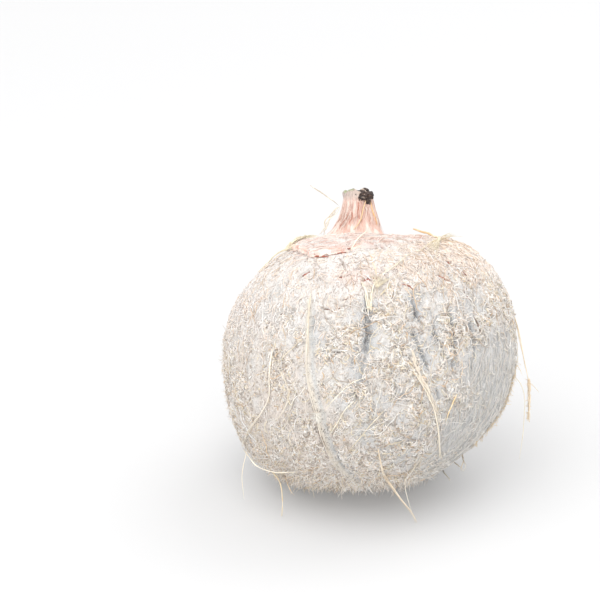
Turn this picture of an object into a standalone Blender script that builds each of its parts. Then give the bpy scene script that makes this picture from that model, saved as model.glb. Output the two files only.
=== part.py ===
"""A young coconut, trimmed of its outer husk, resting on a small flat spot with its neck leaning back.

Two pieces: the fruit itself, which grew as one, and the dried end of the stalk on the tip of its neck.
Metres, +Z up. The front of the fruit faces -Y, and the origin is under the middle of the fruit, on the
surface that it rests on.
"""

import math

import bmesh
import bpy
from mathutils import Vector

# The fruit's own body, measured along and across the axis that runs from its foot to its neck.
BODY_WIDTH = 0.1192
BODY_DEPTH = 0.1140  # from front to back
SHOULDER_HEIGHT = 0.0498  # from the widest place up to where the neck begins
FOOT_HEIGHT = 0.0540  # from the widest place down to the foot
SHOULDER_SQUARENESS = 2.5  # exponent of the outline: 2 is an ellipse, and more is boxier
FOOT_SQUARENESS = 2.3
LOBES = 3  # a coconut has three rounded sides
LOBE_DEPTH = 0.0022  # how far each rounded side stands out
LOBE_TURN = math.radians(14)
SWELL = 0.0017  # how far the side towards +X bulges past the side towards -X

# The collar of husk left round the neck, with a cut edge that steps down to the body.
COLLAR_RADIUS = 0.0280
COLLAR_RISE = 0.0018
COLLAR_EDGE = 0.0020  # width of the sloping cut edge

# The neck, a cone of husk that flares into the collar.
NECK_HEIGHT = 0.0170
NECK_TIP_RADIUS = 0.0064
NECK_FOOT_RADIUS = 0.0118
NECK_FLARE = 1.4  # how quickly the neck widens towards its foot
NECK_BEND = math.radians(6)  # the neck bends sideways, towards +X

# The dried end of the stalk, a small dark crust that sits on one side of the neck's tip.
STUB_RADIUS = 0.0034
STUB_HEIGHT = 0.0030
STUB_INSET = 0.0006  # from the crust's side to the edge of the neck's tip
STUB_ROUNDING = 0.0010
STUB_SIDES = 12
SEAT_GAP = 0.0003

# How it rests.
LEAN_BACK = math.radians(28)  # the neck's end leans away from the front
LEAN_LEFT = math.radians(6)
FLAT_DEPTH = 0.0024  # how much of the underside the flat spot takes away

AROUND = 72  # faces round the axis
BODY_ROWS = 32
NECK_ROWS = 7
COLLAR_ROWS = 4
SHARP_ANGLE = math.radians(40)
CUTTER_SIZE = 0.5

HUSK_COLOUR = (0.74, 0.68, 0.60, 1)
STUB_COLOUR = (0.055, 0.038, 0.028, 1)


def clear_scene():
    for obj in list(bpy.data.objects):
        bpy.data.objects.remove(obj, do_unlink=True)


def make_material(name, colour, roughness):
    material = bpy.data.materials.new(name)
    material.use_nodes = True
    shader = material.node_tree.nodes["Principled BSDF"]
    shader.inputs["Base Color"].default_value = colour
    shader.inputs["Roughness"].default_value = roughness
    shader.inputs["Metallic"].default_value = 0.0
    return material


def make_object(name, mesh, material, parent):
    mesh.materials.append(material)
    mesh.shade_smooth()
    mesh.set_sharp_from_angle(angle=SHARP_ANGLE)
    obj = bpy.data.objects.new(name, mesh)
    bpy.context.scene.collection.objects.link(obj)
    obj.parent = parent
    return obj


def shoulder_height_at(radius):
    """How far above its widest place the body's surface lies, at this distance from the axis."""
    share = 1 - (radius / (BODY_WIDTH / 2)) ** SHOULDER_SQUARENESS
    return SHOULDER_HEIGHT * share ** (1 / SHOULDER_SQUARENESS)


def neck_profile():
    """Points of the neck's outline, from the middle of its tip down to the collar."""
    foot = shoulder_height_at(NECK_FOOT_RADIUS) + COLLAR_RISE
    points = [Vector((0, 0, foot + NECK_HEIGHT))]
    for row in range(NECK_ROWS):
        down = row / NECK_ROWS
        radius = NECK_TIP_RADIUS + (NECK_FOOT_RADIUS - NECK_TIP_RADIUS) * down**NECK_FLARE
        points.append(Vector((radius, 0, foot + NECK_HEIGHT * (1 - down))))
    return points


def collar_profile():
    """Points along the collar's top, from the neck's foot to its cut edge."""
    points = []
    for row in range(COLLAR_ROWS + 1):
        radius = NECK_FOOT_RADIUS + (COLLAR_RADIUS - NECK_FOOT_RADIUS) * row / COLLAR_ROWS
        points.append(Vector((radius, 0, shoulder_height_at(radius) + COLLAR_RISE)))
    return points


def body_profile():
    """Points of the body's outline, from the foot of the collar's edge round to the lowest point."""
    edge = (COLLAR_RADIUS + COLLAR_EDGE) / (BODY_WIDTH / 2)
    start = math.asin(edge ** (SHOULDER_SQUARENESS / 2))
    points = []
    for row in range(BODY_ROWS + 1):
        angle = start + (math.pi - start) * row / BODY_ROWS
        above = angle < math.pi / 2
        power = 2 / (SHOULDER_SQUARENESS if above else FOOT_SQUARENESS)
        across = max(math.sin(angle), 0.0) ** power
        along = abs(math.cos(angle)) ** power
        height = SHOULDER_HEIGHT * along if above else -FOOT_HEIGHT * along
        points.append(Vector((BODY_WIDTH / 2 * across, 0, height)))
    points[-1].x = 0.0
    return points


def neck_bend_at(height):
    """How far sideways the bend carries the neck, at this height above the body's widest place."""
    return math.tan(NECK_BEND) * max(height - SHOULDER_HEIGHT, 0.0)


def shape_fruit(point):
    """Gives a point of the turned surface its lobes, its swelling, its depth and the neck's bend."""
    turn = math.atan2(point.y, point.x)
    radius = math.hypot(point.x, point.y)
    fullness = (radius / (BODY_WIDTH / 2)) ** 2
    grown = LOBE_DEPTH * math.cos(LOBES * (turn - LOBE_TURN)) + SWELL * math.cos(turn)
    if radius > 0:
        point.xy *= 1 + grown * fullness / radius
    point.y *= BODY_DEPTH / BODY_WIDTH
    point.x += neck_bend_at(point.z)


def make_fruit_mesh():
    """The fruit's outline turned round its axis and then given its natural shape."""
    outline = neck_profile() + collar_profile() + body_profile()
    bm = bmesh.new()
    verts = [bm.verts.new(point) for point in outline]
    edges = [bm.edges.new(pair) for pair in zip(verts, verts[1:])]
    bmesh.ops.spin(
        bm,
        geom=verts + edges,
        axis=(0, 0, 1),
        cent=(0, 0, 0),
        angle=2 * math.pi,
        steps=AROUND,
        use_duplicate=False,
    )
    bmesh.ops.remove_doubles(bm, verts=bm.verts, dist=1e-6)
    for vert in bm.verts:
        shape_fruit(vert.co)
    bmesh.ops.recalc_face_normals(bm, faces=bm.faces)
    mesh = bpy.data.meshes.new("coconut")
    bm.to_mesh(mesh)
    bm.free()
    return mesh


def make_stub_mesh():
    """A low crust with a rounded top edge, a little narrower at its top than at its foot."""
    bm = bmesh.new()
    bmesh.ops.create_cone(
        bm,
        cap_ends=True,
        segments=STUB_SIDES,
        radius1=STUB_RADIUS,
        radius2=STUB_RADIUS - STUB_ROUNDING,
        depth=STUB_HEIGHT,
    )
    bmesh.ops.translate(bm, verts=bm.verts, vec=(0, 0, STUB_HEIGHT / 2))
    rim = [edge for edge in bm.edges if min(v.co.z for v in edge.verts) > STUB_HEIGHT / 2]
    bmesh.ops.bevel(bm, geom=rim, offset=STUB_ROUNDING, segments=3, profile=0.5, affect="EDGES")
    bmesh.ops.recalc_face_normals(bm, faces=bm.faces)
    mesh = bpy.data.meshes.new("stalk_stub")
    bm.to_mesh(mesh)
    bm.free()
    return mesh


def world_points(obj):
    bpy.context.view_layer.update()
    return [obj.matrix_world @ vert.co for vert in obj.data.vertices]


def add_flat_spot(fruit):
    """Cuts the flat spot that the fruit rests on, level with the origin."""
    bm = bmesh.new()
    bmesh.ops.create_cube(bm, size=CUTTER_SIZE)
    mesh = bpy.data.meshes.new("rest_cutter")
    bm.to_mesh(mesh)
    bm.free()
    cutter = bpy.data.objects.new("rest_cutter", mesh)
    bpy.context.scene.collection.objects.link(cutter)
    cutter.location.z = -CUTTER_SIZE / 2
    cutter.display_type = "WIRE"
    cutter.hide_render = True
    cut = fruit.modifiers.new("flat_spot", "BOOLEAN")
    cut.operation = "DIFFERENCE"
    cut.solver = "EXACT"
    cut.object = cutter


def main():
    clear_scene()
    axis = bpy.data.objects.new("fruit_axis", None)
    bpy.context.scene.collection.objects.link(axis)
    axis.rotation_euler = (-LEAN_BACK, -LEAN_LEFT, 0)

    fruit = make_object("coconut", make_fruit_mesh(), make_material("husk", HUSK_COLOUR, 0.85), axis)
    stub = make_object("stalk_stub", make_stub_mesh(), make_material("dry_stalk", STUB_COLOUR, 0.7), axis)
    neck_tip = max(vert.co.z for vert in fruit.data.vertices)
    offset = NECK_TIP_RADIUS - STUB_INSET - STUB_RADIUS
    stub.location = (neck_bend_at(neck_tip) + offset, 0, neck_tip + SEAT_GAP)

    fruit_points = world_points(fruit)
    points = fruit_points + world_points(stub)
    lowest = min(point.z for point in fruit_points)
    middle_x = (min(point.x for point in points) + max(point.x for point in points)) / 2
    middle_y = (min(point.y for point in points) + max(point.y for point in points)) / 2
    axis.location = (-middle_x, -middle_y, -lowest - FLAT_DEPTH)
    add_flat_spot(fruit)


main()
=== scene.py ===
"""A trimmed young coconut on a pale floor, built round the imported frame.

The husk is a height field over every direction from the fruit's middle, and thousands of fine fibres grow
over it. Shapes are worked out in millimetres in the fruit's own frame, whose Z runs from foot to neck, and
turned into the row's frame, in metres, at the end. Places on the front are given as the front view shows
them: millimetres to the right of the fruit's middle and above it.
"""

import math

import bpy
import numpy as np
from mathutils import Euler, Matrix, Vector


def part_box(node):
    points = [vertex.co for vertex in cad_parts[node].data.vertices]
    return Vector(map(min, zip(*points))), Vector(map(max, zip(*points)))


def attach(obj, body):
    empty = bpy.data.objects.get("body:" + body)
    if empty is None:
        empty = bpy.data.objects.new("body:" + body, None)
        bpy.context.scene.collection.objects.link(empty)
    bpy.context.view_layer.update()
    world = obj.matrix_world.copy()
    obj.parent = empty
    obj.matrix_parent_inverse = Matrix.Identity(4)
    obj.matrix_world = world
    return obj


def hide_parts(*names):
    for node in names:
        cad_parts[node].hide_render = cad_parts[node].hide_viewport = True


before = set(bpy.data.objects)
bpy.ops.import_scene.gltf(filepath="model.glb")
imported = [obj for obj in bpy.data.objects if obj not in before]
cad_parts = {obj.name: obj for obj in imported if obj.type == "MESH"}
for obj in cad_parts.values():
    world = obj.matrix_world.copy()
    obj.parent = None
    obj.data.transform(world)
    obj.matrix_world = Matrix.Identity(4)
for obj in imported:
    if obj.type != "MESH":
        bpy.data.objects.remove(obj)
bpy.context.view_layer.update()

# ---- the fruit's place and size, in millimetres
LEAN_BACK = math.radians(28)
LEAN_LEFT = math.radians(6)
MIDDLE = np.array(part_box("coconut")[0]) + (0.05649, 0.05930, 0.05432)  # the middle of its widest place
TURN = np.array(Euler((-LEAN_BACK, -LEAN_LEFT, 0)).to_matrix())
FLOOR_GAP = 0.00005  # metres that everything stays above the floor
ROOTS_ABOVE_FLOOR = 0.0012  # metres
MOST_TRIANGLES = 190000  # in one piece of fibres
TINY = 1e-9  # keeps a direction from having no length

HALF_WIDTH = 59.6
DEPTH_SHARE = 0.956  # its depth from front to back, as a share of its width
SHOULDER_HEIGHT, SHOULDER_POWER = 49.8, 2.5
FOOT_HEIGHT, FOOT_POWER = 54.0, 2.3
LOBE_DEPTH, LOBE_TURN = 2.2, math.radians(14)
SWELL = 1.7
MEAN_RADIUS = 57.0

# The camera's direction, which the front view uses too.
ELEVATION = math.radians(24)
RIGHT = TURN.T @ (1, 0, 0)
UP = TURN.T @ (0, math.sin(ELEVATION), math.cos(ELEVATION))
NEAR = TURN.T @ (0, -math.cos(ELEVATION), math.sin(ELEVATION))


def to_world(points):
    """Metres in the row's frame, and never under the floor."""
    world = MIDDLE + (np.asarray(points) @ TURN.T) * 0.001
    world[..., 2] = np.maximum(world[..., 2], FLOOR_GAP)
    return world


def unit(vectors):
    return vectors / np.linalg.norm(vectors, axis=-1, keepdims=True)


def smooth(low, high, values):
    """0 under low, 1 over high, and an S-shaped rise between them."""
    share = np.clip((values - low) / (high - low), 0, 1)
    return share * share * (3 - 2 * share)


# ---- noise
def noise(points, seed=0):
    """Smooth value noise from -1 to 1, one cell to each unit."""
    cell = np.floor(points).astype(np.int64)
    part = points - cell
    part = part * part * part * (part * (part * 6 - 15) + 10)
    total = np.zeros(points.shape[:-1])
    for corner in range(8):
        step = np.array((corner & 1, corner >> 1 & 1, corner >> 2 & 1))
        key = (cell + step) * (73856093, 19349663, 83492791)
        mixed = (key[..., 0] ^ key[..., 1] ^ key[..., 2] ^ (seed * 668265263)) & 0xFFFFFFFF
        mixed = ((mixed ^ (mixed >> 13)) * 1274126177) & 0xFFFFFFFF
        mixed = ((mixed ^ (mixed >> 15)) * 2246822519) & 0xFFFFFFFF
        weight = np.prod(np.where(step, part, 1 - part), axis=-1)
        total += weight * ((mixed ^ (mixed >> 16)) & 0xFFFFFF) / 0x7FFFFF
    return total - 1


def layered(points, octaves=3, seed=0):
    """Noise with finer and fainter layers on top of it."""
    total, weight = 0.0, 1.0
    for octave in range(octaves):
        total = total + weight * noise(points * 2.03**octave + 11.3 * octave, seed + octave)
        weight *= 0.5
    return total / 1.6


def angles_of(directions):
    """(angle down from the neck's end of the axis, turn round it)."""
    down = np.arccos(np.clip(directions[..., 2], -1, 1))
    return down, np.arctan2(directions[..., 1], directions[..., 0])


def ball(down, turn):
    """The direction at this angle down from the neck's end of the axis and this turn round it."""
    return np.stack((np.sin(down) * np.cos(turn), np.sin(down) * np.sin(turn), np.cos(down)), -1)


def ring_of(turn):
    """The point of the level unit circle at each turn."""
    return np.stack((np.cos(turn), np.sin(turn), 0 * turn), -1)


def turns_round(count):
    """One row of evenly spaced turns, once round the axis."""
    return np.linspace(-math.pi, math.pi, count + 1)[None, :-1]


def beside(circle, along, scale, stretch):
    """Noise places round a ring, with so many cells to its radius and so many along it."""
    return np.stack((circle[..., 0] * scale, circle[..., 1] * scale, along * stretch), -1)


def grain(down, turn, across, along):
    """Noise places whose cells are across mm wide round the axis and along mm long from neck to foot."""
    round_axis = MEAN_RADIUS / across
    return np.stack((round_axis * np.cos(turn), round_axis * np.sin(turn), down * MEAN_RADIUS / along), -1)


# ---- the husk's shape
# Places where the outline swells or falls in: right, up, mm outwards, and the angle that it spreads over.
BULGES = (
    (-43, 35, -1.9, 0.42),
    (-46, -38, 1.9, 0.36),
    (58, -18, -1.4, 0.34),
    (46, -40, -3.2, 0.30),
    (2, -56, -2.0, 0.34),
    (42, 46, 2.4, 0.30),
    (-26, 47, 1.3, 0.26),
    (10, 50, -1.2, 0.26),
)


def plain_radius(directions):
    """The fruit's smooth body, as the CAD part has it, with the bulges that its outline shows."""
    x, y, z = directions[..., 0], directions[..., 1] / DEPTH_SHARE, directions[..., 2]
    turn = np.arctan2(y, x)
    width = HALF_WIDTH + LOBE_DEPTH * np.cos(3 * (turn - LOBE_TURN)) + SWELL * np.cos(turn)
    power = np.where(z > 0, SHOULDER_POWER, FOOT_POWER)
    tall = np.where(z > 0, SHOULDER_HEIGHT, FOOT_HEIGHT)
    radius = ((np.hypot(x, y) / width) ** power + (np.abs(z) / tall) ** power) ** (-1 / power)
    for right, up, amount, spread in BULGES:
        centre = unit(right * RIGHT + up * UP)
        apart = np.arccos(np.clip(directions @ centre, -1, 1))
        radius = radius + amount * np.exp(-((apart / spread) ** 2))
    return radius


def on_front(right, up):
    """The direction of the place that the front view shows there, or of the nearest place on the outline."""
    depth = np.linspace(-30, 70, 201)
    place = right * RIGHT + up * UP + depth[:, None] * NEAR
    inside = plain_radius(unit(place)) - np.linalg.norm(place, axis=1)
    best = int(np.argmax(inside))
    if inside[best] <= 0:
        return unit(place[best])
    last = int(np.nonzero(inside > 0)[0][-1])
    share = inside[last] / (inside[last] - inside[last + 1])
    return unit(place[last] * (1 - share) + place[last + 1] * share)


def front_path(places):
    return np.array([on_front(*place) for place in places])


def smooth_path(points, spacing):
    """A smooth curve through the points, with a point about every so many mm."""
    points = np.asarray(points, float)
    ends = np.vstack((2 * points[0] - points[1], points, 2 * points[-1] - points[-2]))
    made = []
    for i in range(len(points) - 1):
        a, b, c, d = ends[i : i + 4]
        count = max(1, int(np.ceil(np.linalg.norm(c - b) / spacing)))
        t = (np.arange(count) / count)[:, None]
        made.append(0.5 * (2 * b + (c - a) * t + (2 * a - 5 * b + 4 * c - d) * t**2 + (3 * b - a - 3 * c + d) * t**3))
    return np.vstack(made + [points[-1:]])


def distance_to(directions, path):
    """mm along the surface from each direction to a path of directions, and how far along the path it is."""
    nearest = np.full(directions.shape[:-1], np.inf)
    share = np.zeros(directions.shape[:-1])
    for i in range(len(path) - 1):
        run = path[i + 1] - path[i]
        along = np.clip(((directions - path[i]) @ run) / (run @ run), 0, 1)
        gap = np.linalg.norm(directions - path[i] - along[..., None] * run, axis=-1)
        closer = gap < nearest
        nearest = np.where(closer, gap, nearest)
        share = np.where(closer, (i + along) / (len(path) - 1), share)
    return nearest * MEAN_RADIUS, share


# Dark grey gouges where the shell nearly shows: places, half the width in mm, and how dark.
GOUGES = (
    (((1.5, 26), (1.5, 18), (1, 9), (0.2, 0)), 1.15, 1.0),
    (((0.2, 2), (-1.5, -6), (-2.5, -12), (-4, -18)), 0.45, 0.6),
    (((18, 27), (20, 21), (22, 14)), 0.8, 1.0),
    (((18.5, 12), (21, 6), (24, 0), (25.5, -5)), 0.85, 0.95),
    (((26.5, -6), (28.5, -12), (30, -17)), 0.35, 0.6),
    (((33, 23), (35, 12), (36, 4), (35, -6)), 0.65, 0.85),
    (((-19.5, 20), (-20.8, 12), (-20.8, 4)), 0.3, 0.5),
    (((10, -4), (12, -10), (17, -16)), 0.4, 0.5),
    (((42, 16), (44, 6), (43, -6)), 0.5, 0.75),
    (((-31, -8), (-33, -13)), 0.6, 0.35),
    (((-13, -34), (-10, -40), (-7, -44)), 0.55, 0.65),
    (((14, 4), (16, -1)), 0.7, 0.5),
    (((26, 20), (28, 13), (28.5, 6)), 0.55, 0.75),
    (((-3, 8), (-4, 2), (-6, -4)), 0.35, 0.55),
)
# Short dark slits between scales of husk, their dark colour painted shade: places, half the width in mm, and how
# dark.
SLITS = (
    (((-25, 33), (-22, 34.8)), 0.5, 1.0),
    (((-20.3, 41.0), (-14.2, 41.2)), 0.55, 1.0),
    (((-13.5, 42.0), (-7, 42.8)), 0.38, 0.9),
    (((-6.2, 43.1), (-5.6, 43.3)), 0.4, 0.8),
    (((-11, 33.0), (-4, 33.4)), 0.35, 0.8),
    (((-0.5, 31.5), (5.2, 32.3)), 0.75, 1.0),
    (((29, 34), (33, 32), (36, 30.3)), 0.5, 0.9),
    (((32, 39.8), (35, 38.4)), 0.6, 1.0),
    (((36, 38), (39, 36), (42, 33)), 0.45, 0.7),
    (((14, 30.5), (18, 29), (20, 27)), 0.5, 0.7),
    (((-34, 17), (-31, 20)), 0.4, 0.8),
    (((-40, 11), (-38, 15)), 0.4, 0.7),
    (((-9, 23.5), (-3, 25.5)), 0.35, 0.6),
    (((-14, 18.5), (-8, 21.5)), 0.4, 0.7),
    (((-17, 20.5), (-13.5, 19.5)), 0.4, 0.7),
    (((-18, 17), (-14, 16)), 0.35, 0.6),
    (((-28, 29), (-17, 30)), 0.3, 0.45),
    (((40, 27), (45, 21)), 0.4, 0.6),
    (((44, 17), (47, 10)), 0.4, 0.6),
    (((-18.6, -27), (-16.8, -32), (-14.6, -36)), 0.55, 0.9),
    (((22, 38.5), (26, 38)), 0.5, 0.7),
)
RIB = ((-21.5, 26), (-22.3, 16), (-22.6, 6), (-22.3, -5), (-20.6, -13.4), (-18.2, -21.5), (-16.5, -29.7),
       (-13.3, -37.9), (-7.1, -46), (-3, -49.4))
COLLAR_EDGE = (  # the torn edge of the collar, where the front view shows it
    (-27, 45.5),
    (-24, 42.5),
    (-20, 41),
    (-13, 42),
    (-6, 43.3),
    (0, 45),
    (9, 45.2),
    (16, 46.6),
    (24, 47.4),
)
COLLAR_DOWN = 0.50  # angle from the axis down to the collar's edge, at the back
RIM_DOWN = 0.315  # angle from the axis down to the rim of husk round the neck
MORE_GOUGES, MORE_SLITS = 14, 90  # spread at random round the fruit
ROWS, COLUMNS = 320, 600


def collar_edge(turn):
    """The angle from the axis down to the collar's torn edge, at each turn round it."""
    circle_turn = 2 * math.pi
    down, at_turn = angles_of(front_path(COLLAR_EDGE))
    spare = np.linspace(at_turn[-1] + 0.7, at_turn[0] + circle_turn - 0.7, 5)
    at_turn = np.concatenate((at_turn, spare)) % circle_turn
    down = np.concatenate((down, np.full(5, COLLAR_DOWN)))
    order = np.argsort(at_turn)
    edge = np.interp(turn % circle_turn, at_turn[order], down[order], period=circle_turn)
    circle = ring_of(turn)
    return edge + 0.018 * noise(circle * 9, 5) + 0.010 * noise(circle * 31, 6)


def random_line(rng, turns, drops, lengths, sway, count):
    """A line of directions that runs more or less down the husk from a random place."""
    start, drop = rng.uniform(*turns), rng.uniform(*drops)
    run = np.linspace(0, rng.uniform(*lengths), count)
    return ball(drop + run, start + rng.uniform(-sway, sway) * run)


def make_husk_fields():
    """The husk's radius and its colours' masks, on a grid of directions."""
    down, turn = np.broadcast_arrays(np.linspace(0, math.pi, ROWS + 1)[:, None], turns_round(COLUMNS))
    way = ball(down, turn)
    radius = plain_radius(way)
    place = way * radius[..., None]
    across, up, near = place @ RIGHT, place @ UP, place @ NEAR
    wander = turn + 0.05 * noise(place / 16, 1)

    # The zones: scales round the neck, the bare grey side, the woolly low left and the mat between them.
    reach = 1.28 - 0.20 * smooth(-26, 26, across)
    top = smooth(0.22, -0.16, down - reach + 0.16 * layered(place / 8, 2, 2))
    bare = smooth(0.68, 0.90, way @ unit(0.87 * RIGHT - 0.45 * UP + 0.2 * NEAR) + 0.08 * noise(place / 11, 3))
    behind = smooth(0.1, -0.5, near / 60)
    bare = np.maximum(bare, 0.85 * smooth(0.05, 0.45, noise(place / 22, 4)) * behind) * (1 - top)
    fuzz = smooth(0.35, 0.75, way @ unit(-0.80 * RIGHT - 0.55 * UP + 0.2 * NEAR) + 0.12 * noise(place / 12, 7))
    fuzz = np.maximum(fuzz, 0.9 * smooth(-40, -50, up + 2 * noise(place / 6, 8))) * (1 - top) * (1 - bare)
    matted = np.clip(1 - top - bare - fuzz, 0, 1)

    height = 0.45 * layered(place / 14, 2, 10) + 0.26 * layered(place / 5.5, 2, 12)
    height += noise(grain(down, wander, 2.6, 24), 14) * (0.22 * top + 0.14 * bare + 0.10)
    scales = 1 - np.abs(noise(grain(down, wander, 4.5, 13) + 3.1, 16))
    height -= 0.45 * smooth(0.86, 1.0, scales) * (0.2 + top)
    patch = smooth(-0.30, 0.35, layered(place / 7, 2, 90))
    clumps = layered(place / 2.3, 2, 18)
    height += clumps * (0.66 * matted + 0.38 * fuzz + 0.05) * (0.35 + 0.75 * patch) + 0.45 * patch * (matted + fuzz)
    height += noise(place / 1.25, 26) * (0.26 * matted + 0.32 * fuzz + 0.03) * (0.5 + 0.6 * patch)

    gouge, halo, slit = (np.zeros_like(radius) for _ in range(3))
    for places, half, dark in GOUGES:
        apart, share = distance_to(way, front_path(places))
        rough = apart + 0.55 * noise(place / 1.5, 20) + 0.5 * noise(place / 4, 21)
        ends = smooth(0, 0.1, share) * smooth(1, 0.85, share)
        gouge = np.maximum(gouge, smooth(half + 0.6, half - 0.7, rough) * dark * (0.25 + 0.75 * ends))
        halo = np.maximum(halo, smooth(half + 4.5, half, rough) * dark * ends)
    rng = np.random.default_rng(7)
    for _ in range(MORE_GOUGES):
        line = random_line(rng, (0.1, 2.9), (0.9, 1.9), (0.2, 0.5), 0.3, 6)
        rough = distance_to(way, line)[0] + 0.9 * noise(place / 1.7, 20) + 1.2 * noise(place / 6, 21)
        half = rng.uniform(0.2, 0.8)
        gouge = np.maximum(gouge, smooth(half + 1.0, half - 0.6, rough) * rng.uniform(0.5, 1))
    for places, half, dark in SLITS:
        rough = distance_to(way, front_path(places))[0] + 0.2 * noise(place / 1.2, 22)
        slit = np.maximum(slit, smooth(half + 0.35, half - 0.3, rough) * dark)
    for _ in range(MORE_SLITS):
        line = random_line(rng, (-math.pi, math.pi), (0.55, 1.25), (0.04, 0.12), 0.8, 3)
        rough = distance_to(way, line)[0] + 0.2 * noise(place / 1.2, 22)
        slit = np.maximum(slit, smooth(0.85, 0.25, rough) * rng.uniform(0.3, 1.0))
    height -= 1.1 * gouge + 0.7 * slit

    # The flat strip with the rib along its left side.
    rib_way = front_path(RIB)
    apart, share = distance_to(way, rib_way)
    rib = smooth(1.5, 0.4, apart) * smooth(0, 0.05, share)
    strip = smooth(1.6, 1.0, distance_to(way, rib_way + 1.5 / MEAN_RADIUS * RIGHT)[0]) * smooth(0, 0.1, share)
    strip = np.clip(strip - rib, 0, 1)
    height = height * (1 - 0.7 * strip) - 0.45 * strip + 0.55 * rib

    # The collar, its rim near the neck, and the gap under its torn edge.
    edge = collar_edge(turn)
    left = smooth(0.35, -0.2, way @ RIGHT)
    collar = smooth(0.016, -0.010, down - edge)
    height += collar * (0.3 + 1.2 * left) * smooth(0.16, 0.36, down)
    rim = np.exp(-(((down - RIM_DOWN - 0.015 * noise(place / 5, 24)) / 0.022) ** 2))
    rim = rim * (0.5 + 0.5 * noise(place / 4, 25))
    height += 0.7 * rim - 1.5 * smooth(0.42, 0.28, down) - 0.6 * smooth(0.29, 0.20, down)
    # The gap is a groove under the torn edge; husk_tint also darkens it with painted shade, more on the left.
    gap = np.exp(-(((down - edge - 0.018) / 0.012) ** 2)) * (0.15 + 0.55 * left)
    radius = radius + height - 0.6 * gap
    zones = {"top": top, "bare": bare, "fuzz": fuzz, "matted": matted, "patch": patch, "clumps": clumps}
    marks = {"gouge": gouge, "halo": halo, "slit": slit, "strip": strip, "rib": rib}
    collar_parts = {"collar": collar, "rim": rim, "gap": gap}
    return {"way": way, "radius": radius, "down": down, "turn": turn} | zones | marks | collar_parts


FIELDS = make_husk_fields()


def at(name, directions):
    """The value of one of the husk's fields in these directions, read between the grid's points."""
    field = FIELDS[name]
    down, turn = angles_of(directions)
    row = down / math.pi * ROWS
    column = (turn + math.pi) / (2 * math.pi) * COLUMNS
    i = np.clip(row.astype(int), 0, ROWS - 1)
    j = np.floor(column).astype(int)
    a, b = row - i, column - j
    j, k = j % COLUMNS, (j + 1) % COLUMNS
    upper = field[i, j] * (1 - b) + field[i, k] * b
    lower = field[i + 1, j] * (1 - b) + field[i + 1, k] * b
    return upper * (1 - a) + lower * a


# ---- colours
def colour(red, green, blue):
    """A colour given as a picture shows it, from 0 to 255, as the linear numbers that a shader takes."""
    share = np.array((red, green, blue)) / 255
    return np.where(share <= 0.04045, share / 12.92, ((share + 0.055) / 1.055) ** 2.4)


FLESH = colour(248, 243, 239)
ROSE = colour(240, 210, 198)
DEEP_ROSE = colour(208, 144, 124)
CREAM = colour(243, 240, 237)
BEIGE = colour(237, 226, 217)
SHELL = colour(214, 214, 214)
SLATE = colour(142, 147, 153)
# the brown of painted shade in the slits
BROWN_SHADE = colour(140, 108, 84)
# the red-brown of painted shade in the slits, under the collar's edge and under its lip
RED_BROWN_SHADE = colour(168, 96, 78)
STRAW = colour(244, 231, 200)
AMBER = colour(228, 190, 142)


def mix(first, second, share):
    return first + (second - first) * np.asarray(share)[..., None]


def husk_tint():
    """The husk's colour at each point of the grid."""
    f = FIELDS
    top, down, matted = f["top"], f["down"], f["matted"]
    place = f["way"] * f["radius"][..., None]
    across, up, near = place @ RIGHT, place @ UP, place @ NEAR
    blush = smooth(1.1, 0.5, down + 0.1 * noise(place / 6, 31)) * smooth(-0.5, 0.7, noise(place / 5, 32))
    rusty = smooth(-0.1, 0.5, noise(place / 3.5, 38)) * smooth(19, 25, across) * smooth(44, 38, across)
    flush = np.exp(-(((across + 2) / 12) ** 2) - ((up - 33) / 3.5) ** 2) * smooth(0, 20, near)
    # Painted shade: a mask for the low places between the clumps, where shade falls in the mat.
    low = smooth(0.0, -0.42, f["clumps"]) * (0.90 * matted + 0.48 * f["fuzz"] + 0.10 * top)
    rose = mix(FLESH, ROSE, smooth(-0.5, 0.5, noise(grain(down, f["turn"], 5, 1.4), 33)))
    tan = smooth(-0.3, 0.4, noise(place / 2.2, 40)) * smooth(-8, 12, across)
    marks = smooth(0.15, 0.6, noise(grain(down, f["turn"], 4.5, 1.3), 34))
    tint = mix(CREAM, BEIGE, smooth(-0.4, 0.9, noise(place / 9, 30) + f["fuzz"] - 0.3))
    for paint, share in (
        (colour(204, 206, 209), 0.6 * smooth(0.0, 0.6, noise(place / 7, 36) + 0.25) * matted),
        (colour(192, 197, 203), 0.8 * f["halo"]),
        (FLESH, 0.95 * top),
        (colour(218, 218, 216), 0.8 * smooth(0.15, 0.6, noise(place / 6, 37)) * smooth(0.85, 1.15, down) * top),
        (ROSE, blush * (0.24 + 0.16 * smooth(5, 35, across))),
        (colour(220, 158, 132), rusty * smooth(0.86, 0.70, down) * 0.75),
        (ROSE, 0.8 * flush),
        (colour(226, 207, 191), 0.75 * smooth(4, 24, across) * top * smooth(-0.4, 0.5, noise(place / 4, 39))),
        (SHELL, 0.92 * f["bare"]),
        # painted shade in the recesses between clumps
        (colour(142, 132, 124), low * (0.25 + 0.75 * f["patch"])),
        (colour(222, 223, 222), 0.85 * f["strip"]),
        (colour(240, 230, 214), 0.8 * f["rib"]),
        (SLATE, 0.98 * f["gouge"]),
        # painted shade inside the slits, red-brown towards the neck
        (mix(BROWN_SHADE, RED_BROWN_SHADE, smooth(0.95, 0.6, down)), 0.5 * f["slit"]),
        (mix(rose, colour(214, 184, 166), 0.9 * tan), 0.95 * f["collar"]),
        (DEEP_ROSE, (0.45 + 0.3 * smooth(-5, 20, across)) * marks * f["collar"]),
        (colour(250, 242, 230), 0.9 * f["rim"]),
        # painted shade in the gap under the collar's torn edge
        (RED_BROWN_SHADE, 0.5 * f["gap"] * smooth(0.0, 0.5, noise(place / 5, 35) + 0.35)),
    ):
        tint = mix(tint, paint, share)
    return tint


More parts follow.
